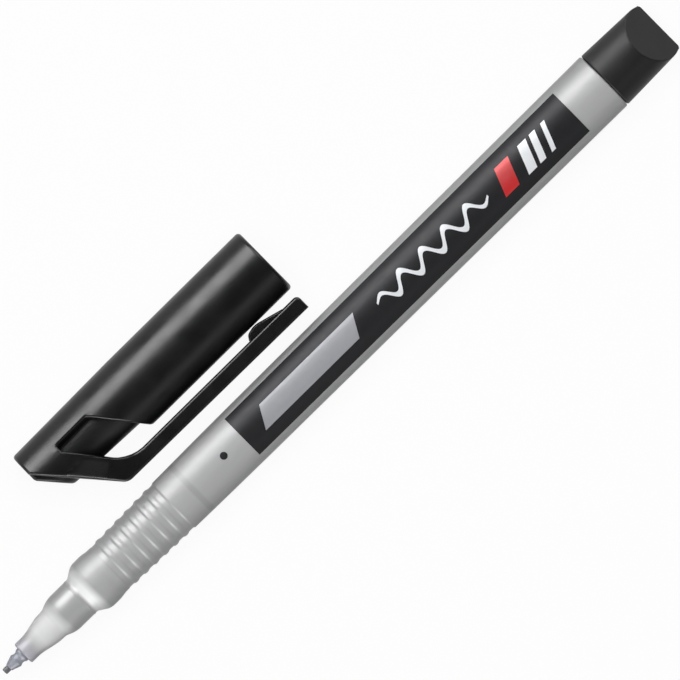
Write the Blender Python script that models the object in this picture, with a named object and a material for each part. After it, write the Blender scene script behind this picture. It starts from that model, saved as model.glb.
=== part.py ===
"""Permanent marker with its cap taken off: barrel, nib, ink store, rear plug, cap and clip.

Lengths are in metres. The pen lies along X with its nib towards -X and rests on Z = 0.
The cap lies beside it on the +Y side, its mouth towards +X and its clip turned to the pen.
Pen pieces are drawn from the nib's point, cap pieces from the cap's closed end.
"""

import math

import bmesh
import bpy

# Nib: a thin rod with a blunt point
NIB_POINT_RADIUS = 0.0005
NIB_POINT_ROUND = 0.0002
NIB_LIP_RADIUS = 0.00051
NIB_ROD_RADIUS = 0.00058
NIB_EXPOSED = 0.00097
NIB_SINK = 0.0070

# Sleeve that carries the nib in the nose
SLEEVE_EXPOSED = 0.0029
SLEEVE_CONE_LENGTH = 0.0014
SLEEVE_RADIUS = 0.0011
SLEEVE_LIP_WALL = 0.00006
SLEEVE_GROOVE_DEPTH = 0.0002
SLEEVE_GROOVE_LENGTH = 0.0011

# Barrel, from the nose to the rear rim
NOSE_TIP_RADIUS = 0.00188
NOSE_TIP_LENGTH = 0.0020
NOSE_FLARE_LENGTH = 0.0030
NOSE_FLARE_RADIUS = 0.00252
NOSE_NECK_LENGTH = 0.0015
NOSE_NECK_RADIUS = 0.00259
SEAT_RISE_LENGTH = 0.00165
SEAT_RADIUS = 0.00327
SEAT_LENGTH = 0.0043
SEAT_WALL = 0.00095
SHOULDER_LENGTH = 0.00175
CREST_RADIUS = 0.00438
CREST_LENGTH = 0.00215
WAIST_FALL_LENGTH = 0.0010
WAIST_RADIUS = 0.0042
WAIST_LENGTH = 0.00078
GRIP_RADIUS = 0.00412
RIB_COUNT = 6
RIB_PITCH = 0.00202
RIB_GROOVE = 0.00077
RIB_WALL = 0.00025
RIB_HEIGHT = 0.00018
BODY_FRONT_RADIUS = 0.00461
BODY_SWELL_LENGTH = 0.0115
BODY_RADIUS = 0.00475
BODY_LENGTH = 0.09001
REAR_RADIUS = 0.00504
BARREL_WALL = 0.00092
CHAMBER_SETBACK = 0.00335
NOSE_EDGE_ROUND = 0.0003
NOSE_ROUND = 0.0040
SHOULDER_ROUND = 0.0020
WAIST_ROUND = 0.0012
REAR_EDGE_ROUND = 0.00035

# Ink store: a fibre core wrapped in film, held between the chamber's step and the plug
FILM_WALL = 0.00015

# Rear plug
PLUG_SKIRT_LENGTH = 0.0065
PLUG_SKIRT_WALL = 0.0009
PLUG_HOLLOW_DEPTH = 0.0025
PLUG_HEAD_LENGTH = 0.0113
PLUG_STEP = 0.00004
PLUG_TAPER = 0.00033
PLUG_FRONT_ROUND = 0.0003
PLUG_END_ROUND = 0.0004
PLUG_SLANT_LENGTH = 0.00505
PLUG_SLANT_ANGLE = math.radians(52.4)

# Cap shell
CAP_LENGTH = 0.0475
CAP_WALL = 0.00088
CAP_END_TAPER = 0.00029
CAP_TAPER_LENGTH = 0.0170
CAP_END_ROUND = 0.0007
CAP_MOUTH_ROUND = 0.0005
CAP_SLANT_ANGLE = math.radians(49.0)
CAP_SLANT_REACH = 0.00162
WINDOW_ANGLE = math.radians(51.8)
WINDOW_TOP = 0.0022
WINDOW_SETBACK = 0.00075
WINDOW_WIDTH = 0.00705

# Inner cap: the thimble that seals on the nose
THIMBLE_WALL = 0.0011
THIMBLE_TAPER = 0.0008
THIMBLE_STAND = 0.00083
THIMBLE_FLOOR = 0.0052
NIB_ROOM = 0.0013

# Clip
LEG_WIDTH = 0.00508
CLIP_WIDTH = 0.0060
CLIP_GAP = 0.00133
ARM_THICKNESS = 0.00227
ARM_TIP_THICKNESS = 0.00251
ARM_SHORT = 0.00035
ARM_CORNER_ROUND = 0.0012
ARM_TIP_ROUND = 0.0006
LEG_FILLET = 0.0029
CLIP_EDGE_ROUND = 0.0006
NUB_FROM_TIP = 0.0080
NUB_FRONT_LENGTH = 0.0018
NUB_RAMP_LENGTH = 0.0047
NUB_ROUND = 0.0009

# Places where the cap lies
CAP_FROM_NIB = 0.02328
CLIP_TO_PEN = 0.00186

# Clearances
NIB_FIT = 0.00005
ROUND_FIT = 0.0001
STORE_FIT = 0.0002
CAP_FIT = 0.0001
SEAM_GAP = 0.0003

# Fineness of round shapes
SEGMENTS = 40
CURVE_STEPS = 5
ROUND_STEPS = 3
EDGE_STEPS = 2
ROUND_SHARE = 0.95
MERGE_DISTANCE = 0.000001
SHARP_ANGLE = math.radians(35.0)

# Stations along the pen, from the nib's point
LIP_X = NIB_EXPOSED
CONE_X = LIP_X + SLEEVE_CONE_LENGTH
NOSE_X = LIP_X + SLEEVE_EXPOSED
FLARE_X = NOSE_X + NOSE_TIP_LENGTH
NECK_X = FLARE_X + NOSE_FLARE_LENGTH
RISE_X = NECK_X + NOSE_NECK_LENGTH
SEAT_X = RISE_X + SEAT_RISE_LENGTH
SHOULDER_X = SEAT_X + SEAT_LENGTH
CREST_X = SHOULDER_X + SHOULDER_LENGTH
CREST_END_X = CREST_X + CREST_LENGTH
WAIST_X = CREST_END_X + WAIST_FALL_LENGTH
WAIST_END_X = WAIST_X + WAIST_LENGTH
GRIP_X = WAIST_END_X + RIB_WALL
GRIP_END_X = GRIP_X + RIB_GROOVE + RIB_COUNT * RIB_PITCH
BODY_X = GRIP_END_X + RIB_WALL
REAR_X = BODY_X + BODY_LENGTH
CHAMBER_X = BODY_X + CHAMBER_SETBACK
STORE_X = CHAMBER_X + SEAM_GAP
SKIRT_X = REAR_X - PLUG_SKIRT_LENGTH
STORE_END_X = SKIRT_X - SEAM_GAP
PLUG_X = REAR_X + SEAM_GAP
PEN_LENGTH = PLUG_X + PLUG_HEAD_LENGTH

# Radii that follow from what fits
SLEEVE_BORE = NIB_ROD_RADIUS + NIB_FIT
NOSE_BORE = SLEEVE_RADIUS + ROUND_FIT
FRONT_BORE = SEAT_RADIUS - SEAT_WALL
CHAMBER_RADIUS = BODY_FRONT_RADIUS - BARREL_WALL
FILM_RADIUS = CHAMBER_RADIUS - STORE_FIT
CORE_RADIUS = FILM_RADIUS - FILM_WALL - ROUND_FIT
SKIRT_RADIUS = CHAMBER_RADIUS - ROUND_FIT
PLUG_FRONT_RADIUS = REAR_RADIUS - PLUG_STEP
PLUG_END_RADIUS = PLUG_FRONT_RADIUS - PLUG_TAPER
CAP_BORE = BODY_RADIUS + CAP_FIT
CAP_RADIUS = CAP_BORE + CAP_WALL
THIMBLE_BORE = SEAT_RADIUS + CAP_FIT
THIMBLE_RADIUS = THIMBLE_BORE + THIMBLE_WALL
PEN_WIDEST_RADIUS = max(CREST_RADIUS, BODY_FRONT_RADIUS, BODY_RADIUS, REAR_RADIUS)

# Stations along the cap, from its closed end
SEATED_SHIFT = THIMBLE_FLOOR + NIB_ROOM
THIMBLE_LENGTH = SHOULDER_X + SEATED_SHIFT
POCKET_X = THIMBLE_LENGTH + SEAM_GAP
ARM_END_X = CAP_LENGTH - ARM_SHORT

# Distances from the cap's axis towards the clip
ROOT_REACH = CAP_RADIUS + SEAM_GAP
ARM_INNER = CAP_RADIUS + CLIP_GAP
ARM_OUTER = ARM_INNER + ARM_THICKNESS
ARM_TIP_OUTER = ARM_INNER + ARM_TIP_THICKNESS
LEG_REACH = CAP_SLANT_REACH + LEG_WIDTH
WINDOW_BACK = LEG_REACH - WINDOW_SETBACK
WINDOW_FRONT = LEG_REACH + WINDOW_WIDTH
HINGE_REACH = CAP_RADIUS + SEAM_GAP / 2.0

# Lengths that carry a cutter well past its piece
PAST_CAP = 2.0 * CAP_RADIUS
PAST_PLUG = 4.0 * PLUG_FRONT_RADIUS

# Axes of the two groups in the lying pose
AXIS_SPACING = PEN_WIDEST_RADIUS + CLIP_TO_PEN + max(ARM_OUTER, ARM_TIP_OUTER)
PEN_AXIS_Y = (PEN_WIDEST_RADIUS - AXIS_SPACING - CAP_RADIUS) / 2.0
CAP_AXIS_Y = PEN_AXIS_Y + AXIS_SPACING
NIB_POINT_PLACE = (-PEN_LENGTH / 2.0, PEN_AXIS_Y, PEN_WIDEST_RADIUS)
CAP_END_PLACE = (-PEN_LENGTH / 2.0 + CAP_FROM_NIB, CAP_AXIS_Y, CAP_RADIUS)


def clear_scene():
    """Start from an empty scene."""
    for item in list(bpy.data.objects):
        bpy.data.objects.remove(item, do_unlink=True)


def plastic(name, colour, roughness):
    """A plain finish for one piece."""
    finish = bpy.data.materials.new(name)
    finish.use_nodes = True
    shader = finish.node_tree.nodes["Principled BSDF"]
    shader.inputs["Base Color"].default_value = (*colour, 1.0)
    shader.inputs["Roughness"].default_value = roughness
    shader.inputs["Metallic"].default_value = 0.0
    return finish


def axis_empty(name, place):
    """An empty that carries a group of pieces."""
    empty = bpy.data.objects.new(name, None)
    empty.empty_display_size = CAP_RADIUS
    empty.location = place
    bpy.context.collection.objects.link(empty)
    return empty


def ease(start, end):
    """A smooth S curve from start to end, both (x, radius), without its start point."""
    points = []
    for step in range(1, CURVE_STEPS + 1):
        share = step / CURVE_STEPS
        lift = share * share * (3.0 - 2.0 * share)
        x = start[0] + (end[0] - start[0]) * share
        radius = start[1] + (end[1] - start[1]) * lift
        points.append((x, radius))
    return points


def arc_corner(before, corner, after, radius):
    """The points that round the corner between two straight runs, within the runs' lengths."""
    back = (before[0] - corner[0], before[1] - corner[1])
    ahead = (after[0] - corner[0], after[1] - corner[1])
    back_length = math.hypot(*back)
    ahead_length = math.hypot(*ahead)
    back = (back[0] / back_length, back[1] / back_length)
    ahead = (ahead[0] / ahead_length, ahead[1] / ahead_length)
    half_angle = math.acos(back[0] * ahead[0] + back[1] * ahead[1]) / 2.0
    run = min(radius / math.tan(half_angle), ROUND_SHARE * back_length, ROUND_SHARE * ahead_length)
    radius = run * math.tan(half_angle)
    middle = (back[0] + ahead[0], back[1] + ahead[1])
    middle_length = math.hypot(*middle)
    reach = radius / math.sin(half_angle) / middle_length
    centre = (corner[0] + middle[0] * reach, corner[1] + middle[1] * reach)
    first = math.atan2(corner[1] + back[1] * run - centre[1], corner[0] + back[0] * run - centre[0])
    last = math.atan2(corner[1] + ahead[1] * run - centre[1], corner[0] + ahead[0] * run - centre[0])
    turn = math.remainder(last - first, 2.0 * math.pi)
    points = []
    for step in range(ROUND_STEPS + 1):
        angle = first + turn * step / ROUND_STEPS
        points.append((centre[0] + radius * math.cos(angle), centre[1] + radius * math.sin(angle)))
    return points


def rounded(corners):
    """A closed outline from (x, y, radius) corners, each rounded where its radius isn't zero."""
    points = []
    for index, (x, y, radius) in enumerate(corners):
        if radius == 0.0:
            points.append((x, y))
            continue
        before = corners[index - 1][:2]
        after = corners[(index + 1) % len(corners)][:2]
        points.extend(arc_corner(before, (x, y), after, radius))
    return points


def sharp(points):
    """Corners with no rounding, to mix with rounded ones."""
    return [(x, y, 0.0) for x, y in points]


def add_piece(name, shape, finish, parent):
    """Turn a bmesh into a smooth-shaded object under its group's empty."""
    bmesh.ops.remove_doubles(shape, verts=shape.verts, dist=MERGE_DISTANCE)
    bmesh.ops.recalc_face_normals(shape, faces=shape.faces)
    mesh = bpy.data.meshes.new(name)
    shape.to_mesh(mesh)
    shape.free()
    mesh.shade_smooth()
    mesh.set_sharp_from_angle(angle=SHARP_ANGLE)
    mesh.materials.append(finish)
    piece = bpy.data.objects.new(name, mesh)
    piece.parent = parent
    bpy.context.collection.objects.link(piece)
    return piece


def turned(name, outline, finish, parent):
    """A round piece: a closed outline of (x, radius), or one from axis to axis, spun about X."""
    shape = bmesh.new()
    verts = [shape.verts.new((x, 0.0, radius)) for x, radius in outline]
    edges = [shape.edges.new(pair) for pair in zip(verts, verts[1:])]
    starts_on_axis = outline[0][1] == 0.0
    if not starts_on_axis:
        edges.append(shape.edges.new((verts[-1], verts[0])))
    bmesh.ops.spin(
        shape,
        geom=verts + edges,
        axis=(1.0, 0.0, 0.0),
        cent=(0.0, 0.0, 0.0),
        angle=2.0 * math.pi,
        steps=SEGMENTS,
        use_merge=True,
    )
    return add_piece(name, shape, finish, parent)


def plate(outline, half_width):
    """A bmesh plate, an outline of (x, y) thickened along Z, and its lower corners in order."""
    shape = bmesh.new()
    low = [shape.verts.new((x, y, -half_width)) for x, y in outline]
    grown = bmesh.ops.extrude_face_region(shape, geom=[shape.faces.new(low)])
    lifted = [item for item in grown["geom"] if isinstance(item, bmesh.types.BMVert)]
    bmesh.ops.translate(shape, verts=lifted, vec=(0.0, 0.0, 2.0 * half_width))
    return shape, low


def tool(name, outline, half_width, finish, parent):
    """A plate that only cuts or joins another piece."""
    shape, _ = plate(outline, half_width)
    helper = add_piece(name, shape, finish, parent)
    helper.hide_render = True
    helper.display_type = "WIRE"
    return helper


def apply_tool(piece, helper, operation):
    """Cut a piece with a helper, or join the helper to it."""
    modifier = piece.modifiers.new(helper.name, "BOOLEAN")
    modifier.operation = operation
    modifier.solver = "EXACT"
    modifier.object = helper


def beyond_slant(point, angle, side, reach):
    """A square with one side along a line that falls at an angle through a point."""
    along = (math.cos(angle) * reach, -math.sin(angle) * reach)
    across = (math.sin(angle) * side * reach, math.cos(angle) * side * reach)
    first = (point[0] - along[0], point[1] - along[1])
    second = (point[0] + along[0], point[1] + along[1])
    third = (second[0] + across[0], second[1] + across[1])
    fourth = (first[0] + across[0], first[1] + across[1])
    return [first, second, third, fourth]


def end_slant_x(distance):
    """Where the slanted end of the cap has got to at a distance from its axis."""
    return CAP_SLANT_REACH + distance / math.tan(CAP_SLANT_ANGLE)


def window_slant_x(reach, distance):
    """Where a slanted side of the window, starting at reach on the axis, has got to at a distance."""
    return reach + distance / math.tan(WINDOW_ANGLE)


def groove_radius(x):
    """The cone on which the grip's groove floors lie, a rib's height below the body at its end."""
    share = (x - GRIP_X) / (GRIP_END_X - GRIP_X)
    return GRIP_RADIUS + (BODY_FRONT_RADIUS - RIB_HEIGHT - GRIP_RADIUS) * share


def rib_points():
    """The grip's ribs: flat rings with sloped walls, from the first groove to the body's edge."""
    points = [(GRIP_X, groove_radius(GRIP_X))]
    for index in range(RIB_COUNT):
        front = GRIP_X + RIB_GROOVE + index * RIB_PITCH
        rear = front + RIB_PITCH - RIB_GROOVE
        points += [
            (front, groove_radius(front)),
            (front + RIB_WALL, groove_radius(front + RIB_WALL) + RIB_HEIGHT),
            (rear - RIB_WALL, groove_radius(rear - RIB_WALL) + RIB_HEIGHT),
            (rear, groove_radius(rear)),
        ]
    points += [(GRIP_END_X, groove_radius(GRIP_END_X)), (BODY_X, BODY_FRONT_RADIUS)]
    return points


def make_barrel(pen):
    """The hollow silver moulding with nose, shoulder, ribbed grip and body."""
    finish = plastic("silver_satin_plastic", (0.60, 0.61, 0.62), 0.38)
    corners = [
        (NOSE_X, NOSE_TIP_RADIUS, NOSE_EDGE_ROUND),
        (FLARE_X, NOSE_TIP_RADIUS, NOSE_ROUND),
        (NECK_X, NOSE_FLARE_RADIUS, NOSE_ROUND),
        (RISE_X, NOSE_NECK_RADIUS, 0.0),
        (SEAT_X, SEAT_RADIUS, NOSE_ROUND),
        (SHOULDER_X, SEAT_RADIUS, 0.0),
        (CREST_X, CREST_RADIUS, SHOULDER_ROUND),
        (CREST_END_X, CREST_RADIUS, WAIST_ROUND),
        (WAIST_X, WAIST_RADIUS, WAIST_ROUND),
        (WAIST_END_X, WAIST_RADIUS, 0.0),
    ]
    corners += sharp(rib_points())
    corners.append((BODY_X + BODY_SWELL_LENGTH, BODY_RADIUS, 0.0))
    corners.append((REAR_X, REAR_RADIUS, REAR_EDGE_ROUND))
    bore = [
        (REAR_X, CHAMBER_RADIUS),
        (CHAMBER_X, CHAMBER_RADIUS),
        (CHAMBER_X, FRONT_BORE),
        (SEAT_X, FRONT_BORE),
        (RISE_X, NOSE_BORE),
        (NOSE_X, NOSE_BORE),
    ]
    corners += sharp(bore)
    turned("barrel", rounded(corners), finish, pen)


def make_nib(pen):
    """The writing point and its rod, which reaches into the ink store."""
    finish = plastic("dark_nib_fibre", (0.05, 0.05, 0.05), 0.7)
    rod_end = STORE_X + NIB_SINK
    corners = [
        (0.0, 0.0, 0.0),
        (0.0, NIB_POINT_RADIUS, NIB_POINT_ROUND),
        (LIP_X, NIB_LIP_RADIUS, 0.0),
        (CONE_X, NIB_ROD_RADIUS, 0.0),
        (rod_end, NIB_ROD_RADIUS, 0.0),
        (rod_end, 0.0, 0.0),
    ]
    turned("nib", rounded(corners), finish, pen)


def make_nib_sleeve(pen):
    """The small cone that grips the nib and is pressed into the nose."""
    finish = plastic("lavender_sleeve_plastic", (0.46, 0.46, 0.54), 0.4)
    groove_x = CONE_X + SLEEVE_GROOVE_LENGTH / 2.0
    groove_end_x = CONE_X + SLEEVE_GROOVE_LENGTH
    lip_bore = NIB_LIP_RADIUS + NIB_FIT
    outline = [(LIP_X, lip_bore + SLEEVE_LIP_WALL), (CONE_X, SLEEVE_RADIUS)]
    outline += ease(outline[-1], (groove_x, SLEEVE_RADIUS - SLEEVE_GROOVE_DEPTH))
    outline += ease(outline[-1], (groove_end_x, SLEEVE_RADIUS))
    outline += [
        (RISE_X, SLEEVE_RADIUS),
        (RISE_X, SLEEVE_BORE),
        (CONE_X, SLEEVE_BORE),
        (LIP_X, lip_bore),
    ]
    turned("nib_sleeve", outline, finish, pen)


def make_ink_store(pen):
    """The fibre core with a hole for the nib's rod, and the film wrapped round it."""
    hole_radius = NIB_ROD_RADIUS + NIB_FIT
    hole_end = STORE_X + NIB_SINK + SEAM_GAP
    core = [
        (hole_end, 0.0),
        (hole_end, hole_radius),
        (STORE_X, hole_radius),
        (STORE_X, CORE_RADIUS),
        (STORE_END_X, CORE_RADIUS),
        (STORE_END_X, 0.0),
    ]
    turned("ink_reservoir", core, plastic("ink_soaked_fibre", (0.02, 0.02, 0.025), 0.9), pen)
    film = [
        (STORE_X, FILM_RADIUS),
        (STORE_END_X, FILM_RADIUS),
        (STORE_END_X, FILM_RADIUS - FILM_WALL),
        (STORE_X, FILM_RADIUS - FILM_WALL),
    ]
    turned("reservoir_film", film, plastic("clear_film", (0.75, 0.76, 0.78), 0.25), pen)


def make_rear_plug(pen):
    """The black end plug: a skirt inside the barrel and a head with a slanted face."""
    finish = plastic("black_plug_plastic", (0.025, 0.025, 0.028), 0.45)
    hollow_end = PLUG_X + PLUG_HOLLOW_DEPTH
    hollow_radius = SKIRT_RADIUS - PLUG_SKIRT_WALL
    corners = sharp(
        [
            (hollow_end, 0.0),
            (hollow_end, hollow_radius),
            (SKIRT_X, hollow_radius),
            (SKIRT_X, SKIRT_RADIUS),
            (PLUG_X, SKIRT_RADIUS),
        ]
    )
    corners.append((PLUG_X, PLUG_FRONT_RADIUS, PLUG_FRONT_ROUND))
    corners.append((PEN_LENGTH, PLUG_END_RADIUS, PLUG_END_ROUND))
    corners.append((PEN_LENGTH, 0.0, 0.0))
    plug = turned("rear_plug", rounded(corners), finish, pen)
    slant_share = PLUG_SLANT_LENGTH / PLUG_HEAD_LENGTH
    slant_top = PLUG_END_RADIUS + (PLUG_FRONT_RADIUS - PLUG_END_RADIUS) * slant_share
    slant = beyond_slant(
        (PEN_LENGTH - PLUG_SLANT_LENGTH, slant_top), PLUG_SLANT_ANGLE, 1.0, PAST_PLUG
    )
    cutter = tool("plug_slant_cutter", slant, PAST_PLUG, finish, pen)
    cutter.rotation_euler.x = math.pi / 2.0
    apply_tool(plug, cutter, "DIFFERENCE")


def thimble_radius(x):
    """The inner cap's outside, which tapers towards the closed end."""
    return THIMBLE_RADIUS - THIMBLE_TAPER * (1.0 - x / THIMBLE_LENGTH)


def make_cap_shell(cap):
    """The cap's outer sleeve: slanted end, window behind the leg, and the stub that carries the clip."""
    finish = plastic("black_cap_plastic", (0.022, 0.022, 0.024), 0.42)
    pocket_end = thimble_radius(0.0) + ROUND_FIT
    pocket_mouth = thimble_radius(POCKET_X) + ROUND_FIT
    corners = [
        (0.0, CAP_RADIUS - CAP_END_TAPER, CAP_END_ROUND),
        (CAP_TAPER_LENGTH, CAP_RADIUS, 0.0),
        (CAP_LENGTH, CAP_RADIUS, CAP_MOUTH_ROUND),
        (CAP_LENGTH, CAP_BORE, 0.0),
        (POCKET_X, CAP_BORE, 0.0),
        (POCKET_X, pocket_mouth, 0.0),
        (0.0, pocket_end, 0.0),
    ]
    shell = turned("cap_shell", rounded(corners), finish, cap)

    stub_inner = pocket_mouth + ROUND_FIT
    stub = [
        (end_slant_x(stub_inner) - CAP_WALL, -stub_inner),
        (end_slant_x(CAP_RADIUS) - CAP_WALL, -CAP_RADIUS),
        (window_slant_x(LEG_REACH, CAP_RADIUS) + CAP_WALL, -CAP_RADIUS),
        (window_slant_x(LEG_REACH, stub_inner) + CAP_WALL, -stub_inner),
    ]
    window = [
        (WINDOW_BACK, WINDOW_TOP),
        (window_slant_x(WINDOW_FRONT, -WINDOW_TOP), WINDOW_TOP),
        (window_slant_x(WINDOW_FRONT, PAST_CAP), -PAST_CAP),
        (window_slant_x(LEG_REACH, PAST_CAP), -PAST_CAP),
        (WINDOW_BACK, WINDOW_SETBACK * math.tan(WINDOW_ANGLE)),
    ]
    end = beyond_slant((CAP_SLANT_REACH, 0.0), CAP_SLANT_ANGLE, -1.0, PAST_CAP)
    apply_tool(shell, tool("clip_stub", stub, CLIP_WIDTH / 2.0, finish, cap), "UNION")
    apply_tool(shell, tool("cap_end_cutter", end, PAST_CAP, finish, cap), "DIFFERENCE")
    apply_tool(shell, tool("cap_window_cutter", window, PAST_CAP, finish, cap), "DIFFERENCE")


def make_inner_cap(cap):
    """The thimble inside the shell, closed by a slanted end that stands out of the shell's."""
    finish = plastic("black_seal_plastic", (0.02, 0.02, 0.022), 0.5)
    outline = [
        (THIMBLE_FLOOR, 0.0),
        (THIMBLE_FLOOR, THIMBLE_BORE),
        (THIMBLE_LENGTH, THIMBLE_BORE),
        (THIMBLE_LENGTH, THIMBLE_RADIUS),
        (0.0, thimble_radius(0.0)),
        (0.0, 0.0),
    ]
    thimble = turned("inner_cap", outline, finish, cap)
    slant_start = CAP_SLANT_REACH - THIMBLE_STAND / math.sin(CAP_SLANT_ANGLE)
    end = beyond_slant((slant_start, 0.0), CAP_SLANT_ANGLE, -1.0, PAST_CAP)
    apply_tool(thimble, tool("inner_cap_end_cutter", end, PAST_CAP, finish, cap), "DIFFERENCE")


def make_clip(cap):
    """The clip: slanted leg, straight arm and nub, with its origin on the line where the leg bends."""
    finish = plastic("black_clip_plastic", (0.02, 0.02, 0.022), 0.45)
    leg_outer = end_slant_x(HINGE_REACH)
    leg_inner = window_slant_x(LEG_REACH, HINGE_REACH)
    hinge_x = (leg_outer + leg_inner) / 2.0
    nub_x = ARM_END_X - NUB_FROM_TIP
    nub_reach = CAP_RADIUS + SEAM_GAP
    outer_side = [
        (end_slant_x(ROOT_REACH), ROOT_REACH, 0.0),
        (end_slant_x(ARM_OUTER), ARM_OUTER, ARM_CORNER_ROUND),
        (ARM_END_X, ARM_TIP_OUTER, 0.0),
    ]
    inner_side = [
        (ARM_END_X, ARM_INNER, ARM_TIP_ROUND),
        (nub_x + NUB_RAMP_LENGTH, ARM_INNER, 0.0),
        (nub_x, nub_reach, NUB_ROUND),
        (nub_x - NUB_FRONT_LENGTH, ARM_INNER, 0.0),
        (window_slant_x(LEG_REACH, ARM_INNER), ARM_INNER, LEG_FILLET),
        (window_slant_x(LEG_REACH, ROOT_REACH), ROOT_REACH, 0.0),
    ]
    outline = [(x - hinge_x, HINGE_REACH - reach) for x, reach in rounded(outer_side + inner_side)]
    shape, low = plate(outline, CLIP_WIDTH / 2.0)
    outer_count = len(outer_side) + ROUND_STEPS
    outer_edges = []
    for first, second in zip(low[:outer_count], low[1:outer_count]):
        low_edge = shape.edges.get((first, second))
        side = next(face for face in low_edge.link_faces if len(face.verts) == 4)
        high_edge = next(edge for edge in side.edges if not set(edge.verts) & {first, second})
        outer_edges += [low_edge, high_edge]
    bmesh.ops.bevel(
        shape,
        geom=outer_edges,
        offset=CLIP_EDGE_ROUND,
        offset_type="OFFSET",
        segments=EDGE_STEPS,
        profile=0.5,
        affect="EDGES",
        material=-1,
    )
    clip = add_piece("clip", shape, finish, cap)
    clip.location = (hinge_x, -HINGE_REACH, 0.0)


def main():
    """Build the pen's pieces and the cap's pieces on their two axes."""
    clear_scene()
    pen = axis_empty("pen_axis", NIB_POINT_PLACE)
    cap = axis_empty("cap_axis", CAP_END_PLACE)
    make_barrel(pen)
    make_nib(pen)
    make_nib_sleeve(pen)
    make_ink_store(pen)
    make_rear_plug(pen)
    make_cap_shell(cap)
    make_inner_cap(cap)
    make_clip(cap)


main()
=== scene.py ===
"""Looks of the permanent marker: the fine shape and finish of the pen, its cap and its clip.

Each piece is shaped in millimetres on its own axis, the pen's pieces from the nib's point and the
cap's from its closed end, and is then put in its place in metres. A size that ends in CUT or EDGE is
the length that a rounded corner or a rounded edge takes off on each side.
"""

import math

import bmesh
import bpy
from mathutils import Matrix, Vector

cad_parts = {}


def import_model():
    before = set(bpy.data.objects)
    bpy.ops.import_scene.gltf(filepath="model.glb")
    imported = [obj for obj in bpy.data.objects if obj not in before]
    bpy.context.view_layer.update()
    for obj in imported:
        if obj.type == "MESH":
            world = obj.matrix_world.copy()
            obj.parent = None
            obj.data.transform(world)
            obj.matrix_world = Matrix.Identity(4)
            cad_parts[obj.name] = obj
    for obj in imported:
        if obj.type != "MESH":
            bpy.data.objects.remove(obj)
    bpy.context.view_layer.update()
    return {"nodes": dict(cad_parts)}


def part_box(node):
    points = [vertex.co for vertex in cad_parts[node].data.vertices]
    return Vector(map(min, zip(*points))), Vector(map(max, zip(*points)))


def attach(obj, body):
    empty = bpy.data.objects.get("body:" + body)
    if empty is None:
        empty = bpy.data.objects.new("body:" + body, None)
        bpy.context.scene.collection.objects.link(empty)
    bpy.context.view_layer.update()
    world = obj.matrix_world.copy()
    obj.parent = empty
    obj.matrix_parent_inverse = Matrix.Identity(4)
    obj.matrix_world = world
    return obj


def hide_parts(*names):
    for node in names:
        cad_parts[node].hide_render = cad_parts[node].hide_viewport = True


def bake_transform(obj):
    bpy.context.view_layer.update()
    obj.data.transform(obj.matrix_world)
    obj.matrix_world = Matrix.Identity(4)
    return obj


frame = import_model()

# Units and fineness
MM = 0.001
WELD = 0.0005
ON_PLANE = 0.002
PLACE_DIGITS = 3
TOO_SHORT = 0.1
PEN_STEPS = 96
NIB_STEPS = 48
CAP_STEPS = 80
ROUND_SEGMENTS = 5
EDGE_SEGMENTS = 4
SHARP_ANGLE = math.radians(38)

# Places of the two axes in the frame
nib_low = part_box("nib")[0]
barrel_low, barrel_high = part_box("barrel")
shell_low, shell_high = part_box("cap_shell")
PEN_PLACE = Vector((nib_low.x, (barrel_low.y + barrel_high.y) / 2, (barrel_low.z + barrel_high.z) / 2))
CAP_PLACE = Vector((shell_low.x, (shell_low.y + shell_high.y) / 2, (shell_low.z + shell_high.z) / 2))
TO_PEN = Matrix.Translation(PEN_PLACE) @ Matrix.Scale(MM, 4)
TO_CAP = Matrix.Translation(CAP_PLACE) @ Matrix.Scale(MM, 4)

# Nib and sleeve, as stations from the nib's point and radii
NIB_POINT_RADIUS = 0.5
NIB_POINT_CUT = 0.2
NIB_LIP_X = 0.97
NIB_LIP_RADIUS = 0.51
NIB_LIP_CUT = 0.05
NIB_ROD_X = 2.37
NIB_ROD_RADIUS = 0.58
NIB_ROD_END = 46.04
NIB_ROD_CUT = 0.1
SLEEVE_LIP_RADIUS = 0.62
SLEEVE_LIP_CUT = 0.03
SLEEVE_RADIUS = 1.1
SLEEVE_CUT = 0.1
SLEEVE_COLLAR_RADIUS = 1.17
SLEEVE_GROOVE_X = 2.45
SLEEVE_GROOVE = 0.17
SLEEVE_GROOVE_LENGTH = 1.1
SLEEVE_GROOVE_WALL = 0.385
SLEEVE_GROOVE_CUT = 0.12
SLEEVE_BRINK_CUT = 0.08
SLEEVE_MOUTH_BORE = 0.56
SLEEVE_BORE = 0.63
SLEEVE_END = 12.0

# Barrel, as stations from the nib's point and radii
NOSE_X = 3.87
NOSE_RADIUS = 1.88
NOSE_CUT = 0.28
NOSE_BORE = 1.2
NOSE_BORE_CUT = 0.08
FLARE_X = 5.87
FLARE_CUT = 0.5
NECK_X = 8.87
NECK_RADIUS = 2.52
NECK_CUT = 0.5
RISE_X = 10.37
RISE_RADIUS = 2.59
RISE_CUT = 0.15
SEAT_X = 12.02
SEAT_RADIUS = 3.27
SEAT_CUT = 0.8
BEAD_X = 15.52
BEAD_LENGTH = 0.46
BEAD_WALL = 0.184
BEAD_REAR_WALL = 0.138
BEAD_RISE = 0.045
BEAD_CUT = 0.06
BEAD_FOOT_CUT = 0.04
BEAD_REAR_FOOT_CUT = 0.05
SHOULDER_X = 16.32
SHOULDER_CUT = 0.1
CREST_X = 18.07
CREST_RADIUS = 4.38
CREST_CUT = 0.6
CREST_END = 20.22
CREST_END_CUT = 0.4
WAIST_X = 21.22
WAIST_RADIUS = 4.2
WAIST_CUT = 0.4
WAIST_END = 22.0
WAIST_END_CUT = 0.08
RIB_X = 23.02
RIB_COUNT = 6
RIB_PITCH = 2.02
RIB_LENGTH = 1.25
RIB_WALL = 0.28
RIB_REAR_WALL = 0.5
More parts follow.
